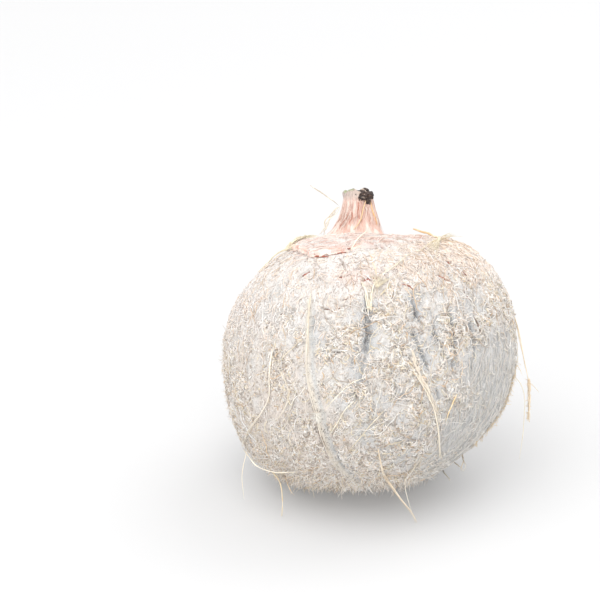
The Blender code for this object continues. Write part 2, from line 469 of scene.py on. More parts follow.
# ---- materials
class Wire:
    """An output of a shader node, which can be added, taken away and multiplied as a number can."""

    def __init__(self, look, socket):
        self.look, self.socket = look, socket

    def join(self, operation, other=0.0):
        return self.look.node("Math", {"operation": operation}, {0: self, 1: other})

    def __add__(self, other):
        return self.join("ADD", other)

    def __sub__(self, other):
        return self.join("SUBTRACT", other)

    def __mul__(self, other):
        return self.join("MULTIPLY", other)

    def span(self, low, high, to_low=0.0, to_high=1.0):
        """An S-shaped step from one value to another, as this output goes from low to high."""
        ends = {"Value": self, "From Min": low, "From Max": high, "To Min": to_low, "To Max": to_high}
        return self.look.node("MapRange", {"interpolation_type": "SMOOTHSTEP"}, ends)

    def ridged(self, sharp):
        """1 along the middle lines of a noise and 0 away from them: thin wandering lines."""
        return (self - 0.5).join("ABSOLUTE").span(0.0, sharp, 1.0, 0.0)

    def times(self, *scale):
        return self.look.node("VectorMath", {"operation": "MULTIPLY"}, {0: self, 1: scale})


class Look:
    """A material, built up from nodes. Its noises lie in the row's frame, in millimetres."""

    def __init__(self, name):
        self.material = bpy.data.materials.new(name)
        self.material.use_nodes = True
        self.nodes = self.material.node_tree.nodes

    def fill(self, node, inputs):
        """Sets or links the node's inputs, and gives the node back."""
        for key, value in inputs.items():
            if isinstance(value, Wire):
                self.material.node_tree.links.new(value.socket, node.inputs[key])
            else:
                node.inputs[key].default_value = value
        return node

    def node(self, kind, settings, inputs, output=0):
        made = self.nodes.new("ShaderNode" + kind)
        for key, value in settings.items():
            setattr(made, key, value)
        return Wire(self, self.fill(made, inputs).outputs[output])

    def attribute(self, name, output="Vector"):
        return self.node("Attribute", {"attribute_name": name}, {}, output)

    def place(self):
        where = self.node("TexCoord", {}, {}, "Object")
        return self.node("VectorMath", {"operation": "SCALE"}, {0: where, "Scale": 1000.0})

    def noise(self, places, scale, detail=2.0, roughness=0.5, distortion=0.0):
        inputs = {"Vector": places, "Scale": scale, "Detail": detail, "Roughness": roughness}
        return self.node("TexNoise", {}, inputs | {"Distortion": distortion})

    def paint(self, share, first, second, how="MIX"):
        settings = {"data_type": "RGBA", "blend_type": how}
        return self.node("Mix", settings, {0: share, 6: first, 7: (*second, 1)}, 2)

    def finish(self, shade, roughness, specular, relief=None, strength=0.0, distance=0.0):
        """Joins the colour, the roughness and the relief to the shader."""
        inputs = {"Base Color": shade, "Roughness": roughness, "Specular IOR Level": specular}
        if relief:
            inputs["Normal"] = self.node("Bump", {}, {"Height": relief, "Strength": strength, "Distance": distance})
        self.fill(self.nodes["Principled BSDF"], inputs)
        return self.material


def husk_material():
    """Fibrous husk: fine curly lines, scale edges near the neck and striations on the bare side."""
    look = Look("husk")
    tint, lay, place = look.attribute("tint", "Color"), look.attribute("grain"), look.place()
    zones = look.attribute("zones")
    top, bare, woolly = (look.node("SeparateXYZ", {}, {0: zones}, axis) for axis in range(3))
    curl_lines = look.noise(place, 0.85, 2.0, 0.55, 1.6).ridged(0.05)
    fine = look.noise(place, 2.1, 3.0, 0.6, 0.8)
    fine_lines = fine.ridged(0.06)
    striations = look.noise(lay.times(1, 0.10, 1), 2.6, 3.0, 0.6, 0.3)
    dashes = look.noise(lay.times(1, 0.28, 1), 2.4, 2.0, 0.5, 0.4).span(0.61, 0.66)
    # Painted shade: specks of a noise, darkened to stand for the shade in the gaps between the fibres.
    painted_gap_shade = look.noise(place, 1.05, 3.0, 0.62, 0.8).span(0.46, 0.39)

    # The colour is darkened by the painted shade specks, more in the woolly parts.
    shade = look.paint(painted_gap_shade * (woolly * 0.76 + 0.22), tint, (0.24, 0.205, 0.18), "MULTIPLY")
    shade = look.paint(curl_lines * (woolly * 0.45 + 0.5) + fine_lines * 0.22, shade, colour(250, 245, 238))
    cut = dashes * (top * 0.55 + 0.12)
    shade = look.paint(cut, shade, colour(158, 130, 114))
    shade = look.paint(striations.span(0.35, 0.65) * (bare * 0.85 + 0.12), shade, (0.62, 0.62, 0.62), "MULTIPLY")
    relief = curl_lines * 0.8 + fine * 1.3 + fine_lines * 0.35 - cut * 1.2 + striations * 0.6
    return look.finish(shade, fine.span(0.3, 0.7, 0.88, 0.66), 0.3, relief, 0.75, 0.00035)


def fibre_material(name, roughness):
    """Dry plant fibre: each fibre has its own colour, a little uneven along its length."""
    look = Look(name)
    uneven = look.noise(look.place(), 1.4, 2.0, 0.6).span(0.35, 0.65, 0.0, 0.28)
    shade = look.paint(uneven, look.attribute("tint", "Color"), (0.76, 0.72, 0.67), "MULTIPLY")
    return look.finish(shade, roughness, 0.35)


def rose_material():
    """The neck and the collar: soft pink fibre bundles with darker streaks."""
    look = Look("rose_husk")
    threads = look.noise(look.attribute("grain").times(1, 0.14, 1), 2.6, 3.0, 0.6, 0.5)
    fine = look.noise(look.place(), 2.4, 3.0, 0.6, 0.5)
    shade = look.paint(threads.ridged(0.07) * 0.4, look.attribute("tint", "Color"), colour(246, 232, 222))
    shade = look.paint(threads.span(0.60, 0.74) * 0.5, shade, (0.78, 0.62, 0.56), "MULTIPLY")
    shade = look.paint(fine.span(0.42, 0.30, 0.0, 0.4), shade, (0.74, 0.62, 0.56), "MULTIPLY")
    return look.finish(shade, fine.span(0.3, 0.7, 0.8, 0.6), 0.35, threads * 1.6 + fine * 0.7, 0.7, 0.0004)


def crust_material():
    """The stalk's dead end: dark brown, nearly black, with paler flakes."""
    look = Look("dry_crust")
    place = look.place()
    flakes = look.noise(place, 1.6, 4.0, 0.65, 1.2)
    shade = look.paint(flakes.span(0.60, 0.72) * 0.45, look.attribute("tint", "Color"), colour(150, 122, 104))
    speckle = look.noise(place, 5.0, 3.0, 0.6).span(0.4, 0.6, 0.0, 0.5)
    shade = look.paint(speckle, shade, (0.45, 0.42, 0.42), "MULTIPLY")
    return look.finish(shade, flakes.span(0.3, 0.7, 0.45, 0.8), 0.5, flakes, 0.9, 0.0006)


HUSK = husk_material()
FIBRE = fibre_material("husk_fibre", 0.62)
STRAND = fibre_material("loose_strand", 0.5)
ROSE_HUSK = rose_material()
CRUST = crust_material()


# ---- meshes
def make_piece(name, material, points, tint, corner_uv, quads, triangles=(), slot="husk", **vectors):
    """A smooth piece of the fruit, with a colour at each point and a UV map for baking. Points are in mm."""
    points, tint = to_world(points).reshape(-1, 3), np.clip(tint, 0, 1).reshape(-1, 3)
    quads, triangles = np.asarray(quads).reshape(-1, 4), np.asarray(triangles).reshape(-1, 3)
    mesh = bpy.data.meshes.new(name)
    mesh.vertices.add(len(points))
    mesh.vertices.foreach_set("co", points.astype(np.float32).ravel())
    corners = np.concatenate((quads.ravel(), triangles.ravel())).astype(np.int32)
    starts = np.cumsum(np.concatenate(((0,), np.full(len(quads), 4), np.full(len(triangles), 3))))[:-1]
    mesh.loops.add(len(corners))
    mesh.loops.foreach_set("vertex_index", corners)
    mesh.polygons.add(len(starts))
    mesh.polygons.foreach_set("loop_start", starts.astype(np.int32))
    mesh.update(calc_edges=True)
    mesh.shade_smooth()
    colours = mesh.color_attributes.new("tint", "FLOAT_COLOR", "POINT")
    colours.data.foreach_set("color", np.column_stack((tint, np.ones(len(tint)))).astype(np.float32).ravel())
    for key, values in vectors.items():
        made = mesh.attributes.new(key, "FLOAT_VECTOR", "POINT")
        made.data.foreach_set("vector", values.astype(np.float32).ravel())
    layer = mesh.uv_layers.new(name="OFBake")
    layer.uv.foreach_set("vector", corner_uv.astype(np.float32).ravel())
    mesh.validate()
    mesh.materials.append(material)
    piece = bpy.data.objects.new(name, mesh)
    bpy.context.scene.collection.objects.link(piece)
    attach(piece, "root")
    return piece


def grid_faces(rows, columns, closed=False):
    """Quads between the points of a grid, and each corner's place in the unit square."""
    wide = columns if closed else columns - 1
    i, j = np.meshgrid(np.arange(rows - 1), np.arange(wide), indexing="ij")
    k = (j + 1) % columns
    quads = np.stack((i * columns + j, (i + 1) * columns + j, (i + 1) * columns + k, i * columns + k), -1)
    u = np.stack((j, j, j + 1, j + 1), -1) / wide
    v = np.stack((i, i + 1, i + 1, i), -1) / (rows - 1)
    return quads.reshape(-1, 4), np.stack((u, 1 - v), -1).reshape(-1, 2)


def add_tubes(name, material, paths, radii, tint, normals, sides=3):
    """Closed tubes along the paths, which have as many points each, split into pieces of a fair size."""
    each = (paths.shape[1] - 2) * sides * 2
    step = MOST_TRIANGLES // each
    for number, start in enumerate(range(0, len(paths), step)):
        part = slice(start, start + step)
        tubes(f"{name}_{number + 1}", material, paths[part], radii[part], tint[part], normals[part], sides)


def tubes(name, material, paths, radii, tint, normals, sides):
    count, length = paths.shape[:2]
    inner = length - 2
    tangent = unit(np.gradient(paths, axis=1) + TINY)
    side = unit(np.cross(tangent, normals) + TINY)
    lift = np.cross(side, tangent)
    angle = 2 * math.pi * (np.arange(sides) + 0.5) / sides
    rings = slice(1, length - 1)
    ring = side[:, rings, None] * np.cos(angle)[:, None] + lift[:, rings, None] * np.sin(angle)[:, None]
    ring = paths[:, rings, None] + ring * radii[:, rings, None, None]
    points = np.concatenate((ring.reshape(count, -1, 3), paths[:, :1], paths[:, -1:]), axis=1)
    shade = np.concatenate((np.repeat(tint[:, rings], sides, axis=1), tint[:, :1], tint[:, -1:]), axis=1)
    quads = grid_faces(inner, sides, closed=True)[0][:, (0, 3, 2, 1)]
    j = np.arange(sides)
    k = (j + 1) % sides
    first = np.stack((np.full(sides, inner * sides), k, j), -1)
    last = np.stack((np.full(sides, inner * sides + 1), (inner - 1) * sides + j, (inner - 1) * sides + k), -1)
    shift = (np.arange(count) * (inner * sides + 2))[:, None, None]
    # Each tube has its own small square of the map, with a margin, its length running across it.
    margin, used = 0.1, 0.8
    squares = int(np.ceil(np.sqrt(count)))
    corner = np.stack((np.arange(count) % squares, np.arange(count) // squares), -1) / squares
    qi, qj = np.repeat(np.arange(inner - 1), sides), np.tile(j, inner - 1)
    tall = (length - 1) / sides
    along = np.stack((qi, qi, qi + 1, qi + 1), -1) + 1
    quad_uv = np.stack((along, np.stack((qj, qj + 1, qj + 1, qj), -1) * tall), -1)
    first_uv = [((0, (s + 0.5) * tall), (1, (s + 1) * tall), (1, s * tall)) for s in j]
    last_uv = [((length - 1, (s + 0.5) * tall), (length - 2, s * tall), (length - 2, (s + 1) * tall)) for s in j]
    scale = used / squares / (length - 1)
    base = (corner + margin / squares)[:, None, None]
    maps = [(base + part * scale).reshape(-1, 2) for part in (quad_uv, np.array(first_uv + last_uv))]
    triangles = np.concatenate((first, last)) + shift
    make_piece(name, material, points, shade, np.concatenate(maps), quads + shift, triangles)


class Bundle:
    """Fibres that are made one at a time, all with as many points."""

    def __init__(self):
        self.fibres = []

    def add(self, path, radii, tint, normals=None):
        tint = tint if tint.ndim == 2 else np.repeat(tint[None], len(path), 0)
        self.fibres.append((path, radii, tint, unit(path) if normals is None else normals))

    def finish(self, name, material, sides=3):
        add_tubes(name, material, *(np.array(rows) for rows in zip(*self.fibres)), sides)


# ---- the husk itself, in a front and a back half
def make_husk():
    f = FIELDS
    tint, points = husk_tint(), f["way"] * f["radius"][..., None]
    woolly = np.clip(f["matted"] + f["fuzz"], 0, 1) * (0.35 + 0.75 * f["patch"])
    zones = np.stack((f["top"], f["bare"], woolly), -1)
    half = COLUMNS // 2
    quads, uv = grid_faces(ROWS + 1, half + 1)
    pieces = []
    for name, first in (("husk_front", 0), ("husk_back", half)):
        columns = np.arange(first, first + half + 1)
        turn = columns / COLUMNS * 2 * math.pi - math.pi
        part = np.s_[:, columns % COLUMNS]
        lay = np.stack(np.broadcast_arrays(turn * MEAN_RADIUS, f["down"][part] * MEAN_RADIUS, 0.0), -1)
        pieces.append(make_piece(name, HUSK, points[part], tint[part], uv, quads, zones=zones[part], grain=lay))
    return pieces


husk_front, husk_back = make_husk()
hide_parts("coconut")

# ---- the neck
NECK_ROWS, CAP_ROWS, NECK_COLUMNS = 120, 26, 340
NECK_SHAPE = (  # height along the axis, radius, and how far to the right its own middle lies
    (45.2, 15.6, 0.8),
    (49.4, 12.3, 1.4),
    (53.4, 9.7, 2.5),
    (58.0, 7.6, 3.6),
    (62.4, 6.3, 4.1),
    (65.5, 6.1, 4.4),
    (68.2, 6.1, 4.7),
)
NECK_CURVE = smooth_path(NECK_SHAPE, 0.3)
NECK_FOOT, NECK_TIP = NECK_SHAPE[0][0], NECK_SHAPE[-1][0]


def neck_radius(height):
    return np.interp(height, NECK_CURVE[:, 0], NECK_CURVE[:, 1])


def neck_centre(height):
    """How far sideways the neck's own middle lies at this height."""
    return np.interp(height, NECK_CURVE[:, 0], NECK_CURVE[:, 2])


def neck_place(circle, radius, height):
    across = radius * circle[..., 0] + neck_centre(height)
    return np.stack((across, radius * circle[..., 1] * DEPTH_SHARE, height), -1)


def make_neck():
    """The neck, ridged and fibrous, with a ragged tip that is green on its left."""
    share = np.concatenate((np.linspace(0, 1, NECK_ROWS), np.ones(CAP_ROWS)))[:, None]
    inward = np.concatenate((np.zeros(NECK_ROWS), np.linspace(0, 1, CAP_ROWS + 1)[1:]))[:, None]
    share, inward, turn = np.broadcast_arrays(share, inward, turns_round(NECK_COLUMNS))
    circle = ring_of(turn)
    left = np.clip(circle @ unit(-RIGHT), 0, 1)
    right = np.clip(circle @ RIGHT + 0.2, 0, 1)
    height = NECK_FOOT + (NECK_TIP - NECK_FOOT) * share
    twist = turn + 0.25 * share
    long = beside(ring_of(twist), share, 4.2, 2.4)
    ridges = noise(long, 40)
    fine = noise(long * (2.6, 2.6, 1.8), 41)
    finest = noise(long * (5.5, 5.5, 3.0), 45)
    cut = smooth(0.62, 0.95, 1 - np.abs(noise(long * (0.9, 0.9, 0.7) + 7, 42)))
    cut = cut * smooth(0, 0.12, share) * smooth(1.0, 0.9, share)
    mottled = layered(beside(circle, share, 5, 9), 3, 46)
    radius = neck_radius(height) + 0.35 * ridges + 0.22 * fine + 0.12 * finest - 0.3 * cut + 0.25 * mottled
    radius = radius + (2.4 + 1.2 * mottled) * left**2 * smooth(0.55, 0.08, share)
    ragged = noise(beside(circle, inward, 2.2, 2.0), 43) + 0.5 * noise(beside(circle, inward, 6, 5.0), 44)
    height = height + smooth(0.75, 1, share) * (0.8 * ragged + 0.6 * left - 2.2 * right * (1 - 0.3 * inward))
    height = height + 1.1 * (np.sqrt(np.clip(1 - inward**2, 0, 1)) - 1)
    tint = mix(colour(232, 212, 201), colour(220, 188, 175), smooth(-0.5, 0.6, ridges + 0.5 * fine))
    green = smooth(0.04, 0.3, inward + 0.2 * (share > 0.985)) * smooth(0.15, 0.6, left + 0.2 * ragged)
    for paint, amount in (
        (colour(240, 227, 219), 0.7 * smooth(0.0, 0.5, mottled)),
        (colour(210, 150, 130), 0.42 * cut),
        (colour(214, 172, 156), 0.5 * smooth(0.1, 0.5, fine - mottled)),
        (mix(colour(202, 186, 174), colour(160, 150, 148), left), smooth(0.74, 0.92, share + 0.06 * ragged) * 0.85),
        (colour(140, 156, 104), green * 0.85),
        (colour(112, 90, 78), smooth(0.05, 0.3, inward) * (1 - left) * 0.9),
    ):
        tint = mix(tint, paint, amount)
    points = neck_place(circle, radius * (1 - inward), height)
    quads, uv = grid_faces(NECK_ROWS + CAP_ROWS, NECK_COLUMNS, closed=True)
    uv = uv.reshape(-1, 4, 2)[:, ::-1]
    lay = np.stack((twist * 9, height + inward * 6, 0 * turn), -1)
    make_piece("neck", ROSE_HUSK, points, tint, uv, quads[:, ::-1], grain=lay)


make_neck()

# ---- the collar's torn lip
LIP_ROWS, LIP_COLUMNS = 14, 520
LIP_REACH, LIP_OVERHANG = 0.085, 0.010  # angles from its root to the collar's edge, and past it


def make_lip():
    """A thin torn flap along the collar's edge, standing a little clear of the husk under it."""
    share, turn = np.broadcast_arrays(np.linspace(0, 1, LIP_ROWS)[:, None], turns_round(LIP_COLUMNS))
    circle = ring_of(turn)
    teeth = 0.004 * noise(circle * 70, 50) + 0.007 * noise(circle * 26, 51)
    down = collar_edge(turn) - LIP_REACH + (LIP_REACH + LIP_OVERHANG + teeth) * share
    way = ball(down, turn)
    left = smooth(0.30, -0.15, way @ RIGHT)
    follow = np.maximum(at("radius", ball(down - 0.05, turn)) - 0.9 * share, at("radius", way))
    curl = 0.22 * noise(beside(circle, share, 12, 1), 52)
    lift = (0.06 + (0.12 + curl) * share**2) * left - 0.8 * (1 - left) - 0.35 * (1 - share) ** 2
    top = way * (follow + lift)[..., None]
    under = way * (follow + lift - 0.35 - 0.25 * (1 - share))[..., None]
    rows = 2 * LIP_ROWS
    quads, uv = grid_faces(rows, LIP_COLUMNS, closed=True)
    last = np.arange(LIP_COLUMNS)
    after = (last + 1) % LIP_COLUMNS
    foot = (rows - 1) * LIP_COLUMNS
    closing = np.stack((foot + last, last, after, foot + after), -1)
    closing_u = np.stack((last, last, last + 1, last + 1), -1) / LIP_COLUMNS
    closing_uv = np.stack((closing_u, 0 * closing_u), -1).reshape(-1, 2)
    streak = noise(beside(circle, share, 9, 5), 53)
    tint = mix(FLESH, ROSE, smooth(-1.2, 0.2, streak))
    tint = mix(tint, DEEP_ROSE, 0.75 * smooth(0.1, 0.6, streak) * smooth(0.0, 0.5, share))
    tint = mix(tint, colour(250, 240, 228), 0.5 * smooth(0.85, 1.0, share))
    # The underside is a darker red-brown copy of the top: painted shade under the flap.
    tint = np.concatenate((tint, mix(tint, RED_BROWN_SHADE, 0.6 + 0 * share)[::-1]))
    lay = np.stack((down * MEAN_RADIUS, turn * 24, 0 * turn), -1)
    maps = np.concatenate((uv * (1, 0.98) + (0, 0.02), closing_uv))
    points, lay = np.concatenate((top, under[::-1])), np.concatenate((lay, lay[::-1]))
    make_piece("collar_lip", ROSE_HUSK, points, tint, maps, np.concatenate((quads, closing)), grain=lay)


make_lip()

# ---- the stalk's dead end
CRUST_ROWS, CRUST_COLUMNS = 34, 56
CRUST_HEIGHT = 66.0  # along the axis
CRUST_OFFSET = (2.3, 0.7, 3.4)  # to the right, up and towards the camera of the neck's middle there
CRUST_LUMPS = (  # each lump's middle to the right, up and towards the camera of the crust's own, and its size
    ((0.0, 0.0, 0.0), (3.0, 2.1, 3.6)),
    ((-2.4, 0.9, 0.2), (1.5, 0.9, 2.0)),
    ((0.6, 1.6, -0.6), (1.5, 1.3, 1.6)),
    ((2.3, -0.6, 0.6), (1.5, 1.9, 2.0)),
    ((1.7, -2.4, 1.2), (1.1, 1.7, 1.2)),
    ((-0.6, -1.2, 2.4), (1.7, 1.1, 0.9)),
    ((2.9, 0.5, -0.8), (0.9, 0.9, 1.4)),
    ((-1.2, 0.6, -2.6), (2.0, 1.2, 1.6)),
    ((-4.2, 1.5, -0.6), (1.5, 0.6, 1.0)),
    ((-3.4, 0.0, 1.6), (0.8, 0.6, 0.7)),
    ((-2.0, -2.4, 1.9), (0.6, 0.8, 0.6)),
)


def make_crust():
    """A broken dark crust of rough lumps, sitting on the right of the neck's tip and over its edge."""
    axes = np.array((RIGHT, UP, NEAR))
    way = ball(*np.broadcast_arrays(np.linspace(0, math.pi, CRUST_ROWS)[:, None], turns_round(CRUST_COLUMNS)))
    quads, uv = grid_faces(CRUST_ROWS, CRUST_COLUMNS, closed=True)
    middle = np.array((neck_centre(CRUST_HEIGHT), 0, CRUST_HEIGHT)) + np.array(CRUST_OFFSET) @ axes
    points, tints, faces, maps = [], [], [], []
    for number, (offset, size) in enumerate(CRUST_LUMPS):
        rough = layered(way * 1.9 + number * 5.1, 2, 60) + 0.6 * layered(way * 4.6 + number, 3, 61)
        lump = way * (1 + 0.34 * rough)[..., None]
        points.append(middle + np.array(offset) @ axes + (lump @ axes.T * size) @ axes)
        tint = mix(colour(84, 68, 62), colour(46, 40, 40), smooth(-0.4, 0.5, rough))
        tint = mix(tint, colour(132, 104, 88), 0.7 * smooth(0.25, 0.7, layered(way * 3 + number, 2, 62)))
        pale = smooth(0.38, 0.52, layered(way * 2.6 + number * 3, 2, 63))
        tints.append(mix(tint, colour(226, 208, 190), 0.85 * pale))
        faces.append(quads + number * way[..., 0].size)
        maps.append((uv + (number % 4, number // 4)) / 4)
    joined = (np.concatenate(rows) for rows in (points, tints, maps, faces))
    return make_piece("stalk_crust", CRUST, *joined, slot="dry_stalk")


crust = make_crust()
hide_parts("stalk_stub")


# ---- fibres that grow over the husk
def southward(directions):
    """The direction along the surface from the neck to the foot, and the one round the axis."""
    south = unit(np.array((0, 0, -1)) + directions * directions[:, 2:3] + TINY)
    return south, np.cross(south, directions)


def grow(rng, roots, heading, steps, step, curl, lift, dip):
    """Paths that wander over the husk from their roots, rising to their lift in between."""
    place, bend = roots, rng.normal(size=len(roots)) * curl
    paths, normals = [], []
    wave = rng.uniform(0, 2 * math.pi, len(roots))
    for share in np.linspace(0, 1, steps):
        arch = max(math.sin(math.pi * share), 0) ** 0.6
        rise = lift * arch * (1 + 0.35 * np.sin(wave + 5.5 * share * math.pi)) - dip * (1 - arch)
        radius = at("radius", place)
        paths.append(place * (radius + rise)[:, None])
        normals.append(place)
        angle = (bend * step)[:, None]
        heading = heading * np.cos(angle) + np.cross(place, heading) * np.sin(angle)
        place = unit(place + heading * (step / radius)[:, None])
        heading = unit(heading - place * (heading * place).sum(-1, keepdims=True))
        bend = 0.72 * bend + rng.normal(size=len(roots)) * curl * 0.75
    return np.stack(paths, 1), np.stack(normals, 1)


def arched(share, ends, power=0.5):
    """A width along a fibre: 1 in the middle, and this share of it at the ends."""
    return ends + (1 - ends) * np.clip(np.sin(math.pi * share), 0, 1) ** power


def fibre_colours(rng, roots):
    """Each fibre's colour: cream and straw, pinkish near the neck and greyer on the bare side."""
    count = len(roots)
    tint = mix(colour(251, 248, 244), colour(236, 223, 211), rng.uniform(0, 1, count))
    for paint, amount, chance in (
        (colour(168, 150, 134), 0.7, 0.19),
        (STRAW, 0.6, 0.18),
        (AMBER, 0.6, 0.05),
        (colour(253, 252, 250), 0.8, 0.2),
    ):
        tint = mix(tint, paint, amount * (rng.uniform(size=count) < chance))
    tint = mix(tint, colour(250, 246, 244), 0.85 * at("top", roots))
    tint = mix(tint, colour(230, 228, 224), 0.65 * at("bare", roots))
    return tint * rng.uniform(0.86, 1.06, (count, 1))


def scatter(rng, wanted, weight, on_collar=False):
    """Root directions, kept with the chance that weight gives each, and none of them near the floor."""
    found, total = [], 0
    while total < wanted:
        tries = unit(rng.normal(size=(wanted, 3)))
        keep = rng.uniform(size=wanted) < weight(tries, lambda name: at(name, tries))
        keep &= to_world(tries * at("radius", tries)[:, None])[:, 2] > ROOTS_ABOVE_FLOOR
        if not on_collar:
            keep &= at("collar", tries) < 0.5
        found.append(tries[keep])
        total += keep.sum()
    return np.concatenate(found)[:wanted]


def fibre_set(
    name, seed, count, steps, length, curl, width, lift, heading_of, weight,
    material=FIBRE, dip=0.25, tone=None, anywhere=False, on_collar=False,
):
    """Many fibres of one kind, grown where their weight says, and cut where they would cross a gouge."""
    rng = np.random.default_rng(seed)
    roots = scatter(rng, count, weight, on_collar)
    step = rng.uniform(*length, len(roots)) / (steps - 1)
    heading = heading_of(rng, roots)
    paths, normals = grow(rng, roots, heading, steps, step, curl, rng.uniform(*lift, len(roots)), dip)
    covered = at("gouge", normals).mean(1) + at("strip", normals).max(1) + at("rib", normals).mean(1)
    keep = covered + 0.5 * at("slit", normals).mean(1) < rng.uniform(0.12, 0.5, len(roots)) + 9 * anywhere
    paths, normals, roots = paths[keep], normals[keep], roots[keep]
    radii = rng.uniform(*width, len(roots))[:, None] * arched(np.linspace(0, 1, steps), 0.35)
    tint = fibre_colours(rng, roots)
    if tone:
        tint = mix(tint, colour(*tone), rng.uniform(0.45, 0.95, len(tint)))
    shade = np.repeat(tint[:, None], steps, axis=1) * rng.uniform(0.93, 1.04, (len(roots), steps, 1))
    add_tubes(name, material, paths, radii, shade, normals)


def turned(rng, first, second, spread):
    """Headings near the first direction, turned towards the second by a random angle."""
    angle = (rng.normal(size=len(first)) * spread)[:, None]
    return unit(first * np.cos(angle) + second * np.sin(angle))


def along_axis(spread):
    """Headings from neck to foot, give or take the spread."""
    return lambda rng, roots: turned(rng, *southward(roots), spread)


def round_axis(spread):
    """Headings round the axis, give or take the spread."""
    return lambda rng, roots: turned(rng, *southward(roots)[::-1], spread)


def slanting(spread):
    """Headings down and to the left on the front, as the middle's mat lies, and anyhow on the right."""

    def headings(rng, roots):
        first = -0.66 * RIGHT - 0.75 * UP
        first = unit(first - roots * (roots @ first)[:, None] + 1e-6)
        return turned(rng, first, np.cross(roots, first), spread * (1 + 1.5 * smooth(0.3, 0.55, roots @ RIGHT)))

    return headings


def patchy(directions):
    return 0.10 + 0.90 * at("patch", directions)


def clustered(directions, size, seed):
    """Thick in some patches and thin in others."""
    return 0.3 + 0.7 * smooth(-0.35, 0.25, layered(directions * (MEAN_RADIUS / size), 2, seed))


def to_right(low, high, directions):
    """How far to the right the directions are, as the front view shows them."""
    return smooth(low, high, directions @ RIGHT)


# Each set: name, seed, how many, points in each; length in mm, curl, radius and lift in mm; which way they
# head, and the chance that one grows at direction d, where on(name) is the value of a field of the husk.
fibre_set(
    "mat_fibres", 101, 9400, 9, (1.3, 4.6), 0.85, (0.14, 0.31), (0.15, 0.7), slanting(0.8),
    lambda d, on: (on("matted") + 0.12 * on("fuzz") + 0.10 * on("bare") + 0.015) * patchy(d) * clustered(d, 3, 81),
)
fibre_set(
    "wool_fibres", 102, 17000, 7, (0.8, 2.7), 1.0, (0.11, 0.25), (0.1, 0.6), slanting(1.5),
    lambda d, on: (
        (0.9 * on("fuzz") + 0.38 * on("matted")) * patchy(d) + 0.12 * on("top") * smooth(0.8, 1.1, angles_of(d)[0])
    ) * clustered(d, 3, 82),
)
fibre_set(
    "lay_fibres", 103, 2300, 15, (5, 17), 0.08, (0.07, 0.15), (0.03, 0.2), along_axis(0.16),
    lambda d, on: on("bare") + 0.10 * on("matted") + 0.30 * on("top") * (0.2 + smooth(0.1, 0.6, np.abs(d @ RIGHT))),
)
fibre_set(
    "thread_fibres", 104, 420, 26, (9, 26), 0.16, (0.11, 0.22), (0.3, 1.0), slanting(0.8),
    lambda d, on: 0.5 * on("fuzz") + on("matted") + 0.10 * on("bare"), STRAND,
)
fibre_set(
    "grey_streaks", 109, 900, 12, (3, 12), 0.06, (0.07, 0.15), (0.0, 0.06), along_axis(0.12),
    lambda d, on: on("bare"), dip=0.2, tone=(146, 148, 150),
)
fibre_set(
    "dark_streaks", 107, 3300, 9, (1.0, 4.4), 0.35, (0.06, 0.16), (0.0, 0.12), along_axis(0.7),
    lambda d, on: on("top") * (0.12 + 0.88 * smooth(-0.1, 0.5, noise(d * 5, 80) + to_right(0.2, 0.6, d))),
    dip=0.16, tone=(150, 120, 102),
)
fibre_set(
    "flake_edges", 108, 2900, 10, (1.8, 7), 0.35, (0.12, 0.30), (0.02, 0.45), along_axis(0.4),
    lambda d, on: on("top") * (0.14 + 0.86 * to_right(-0.1, 0.45, d)), tone=(240, 223, 208),
)
fibre_set(
    "tan_threads", 110, 360, 16, (5, 15), 0.08, (0.08, 0.17), (0.2, 0.5), along_axis(0.2),
    lambda d, on: on("top") * (0.15 + 0.85 * to_right(0.15, 0.5, d)), STRAND, tone=(216, 186, 152),
)
fibre_set(
    "fine_cracks", 113, 420, 14, (3, 9), 0.45, (0.05, 0.11), (-0.02, 0.05), round_axis(0.9),
    lambda d, on: on("top") * to_right(0.5, -0.2, d), dip=0.12, tone=(176, 156, 138),
)
fibre_set(
    "gouge_lines", 111, 260, 9, (1.5, 5), 0.12, (0.09, 0.2), (0.0, 0.1), along_axis(0.25),
    lambda d, on: on("gouge") > 0.35, dip=0.12, tone=(84, 86, 92), anywhere=True, on_collar=True,
)
fibre_set(
    "gouge_threads", 112, 130, 11, (2.5, 7), 0.5, (0.10, 0.2), (0.3, 0.8), slanting(1.2),
    lambda d, on: on("halo") > 0.4, anywhere=True, on_collar=True,
)
fibre_set(
    "collar_fibres", 105, 200, 16, (5, 14), 0.06, (0.10, 0.22), (0.1, 0.35), round_axis(0.22),
    lambda d, on: (on("collar") > 0.5) * smooth(0.2, 0.27, angles_of(d)[0]), tone=(246, 220, 208), on_collar=True,
)
fibre_set(
    "rim_fibres", 106, 420, 12, (2.5, 7.5), 0.25, (0.10, 0.22), (0.1, 0.5), round_axis(0.35),
    lambda d, on: np.abs(angles_of(d)[0] - RIM_DOWN) < 0.030, tone=(250, 243, 230), on_collar=True,
)

# ---- single strands, tufts and whiskers
SLIT_POINTS, STRAND_POINTS, HAIR_POINTS, NECK_THREAD_POINTS = 14, 48, 8, 20
EDGE_POINTS = 200  # places along a frayed edge that its hairs may start from
NAP_HAIRS, NECK_THREADS = 4600, 150
COLLAR_SLITS_UP = 40.5  # slits from here up lie under the collar's edge, and stand a little further out
COLLAR_SLIT_LIFT, SLIT_LIFT = 0.35, 0.05


def surface_place(right, up, lift):
    way = on_front(right, up)
    return way * (at("radius", way[None])[0] + lift)


def place_of(entry):
    """(right, up, lift) lies on the husk, and (right, up, 0, near) hangs free of it."""
    if len(entry) == 3:
        return surface_place(*entry)
    return entry[0] * RIGHT + entry[1] * UP + entry[3] * NEAR


def even_path(points, count):
    """A smooth curve through the points, as so many evenly spaced points."""
    curve = smooth_path(points, 0.5)
    far = np.concatenate(((0,), np.cumsum(np.linalg.norm(np.diff(curve, axis=0), axis=1))))
    where = np.linspace(0, far[-1], count)
    return np.stack([np.interp(where, far, curve[:, axis]) for axis in range(3)], -1)


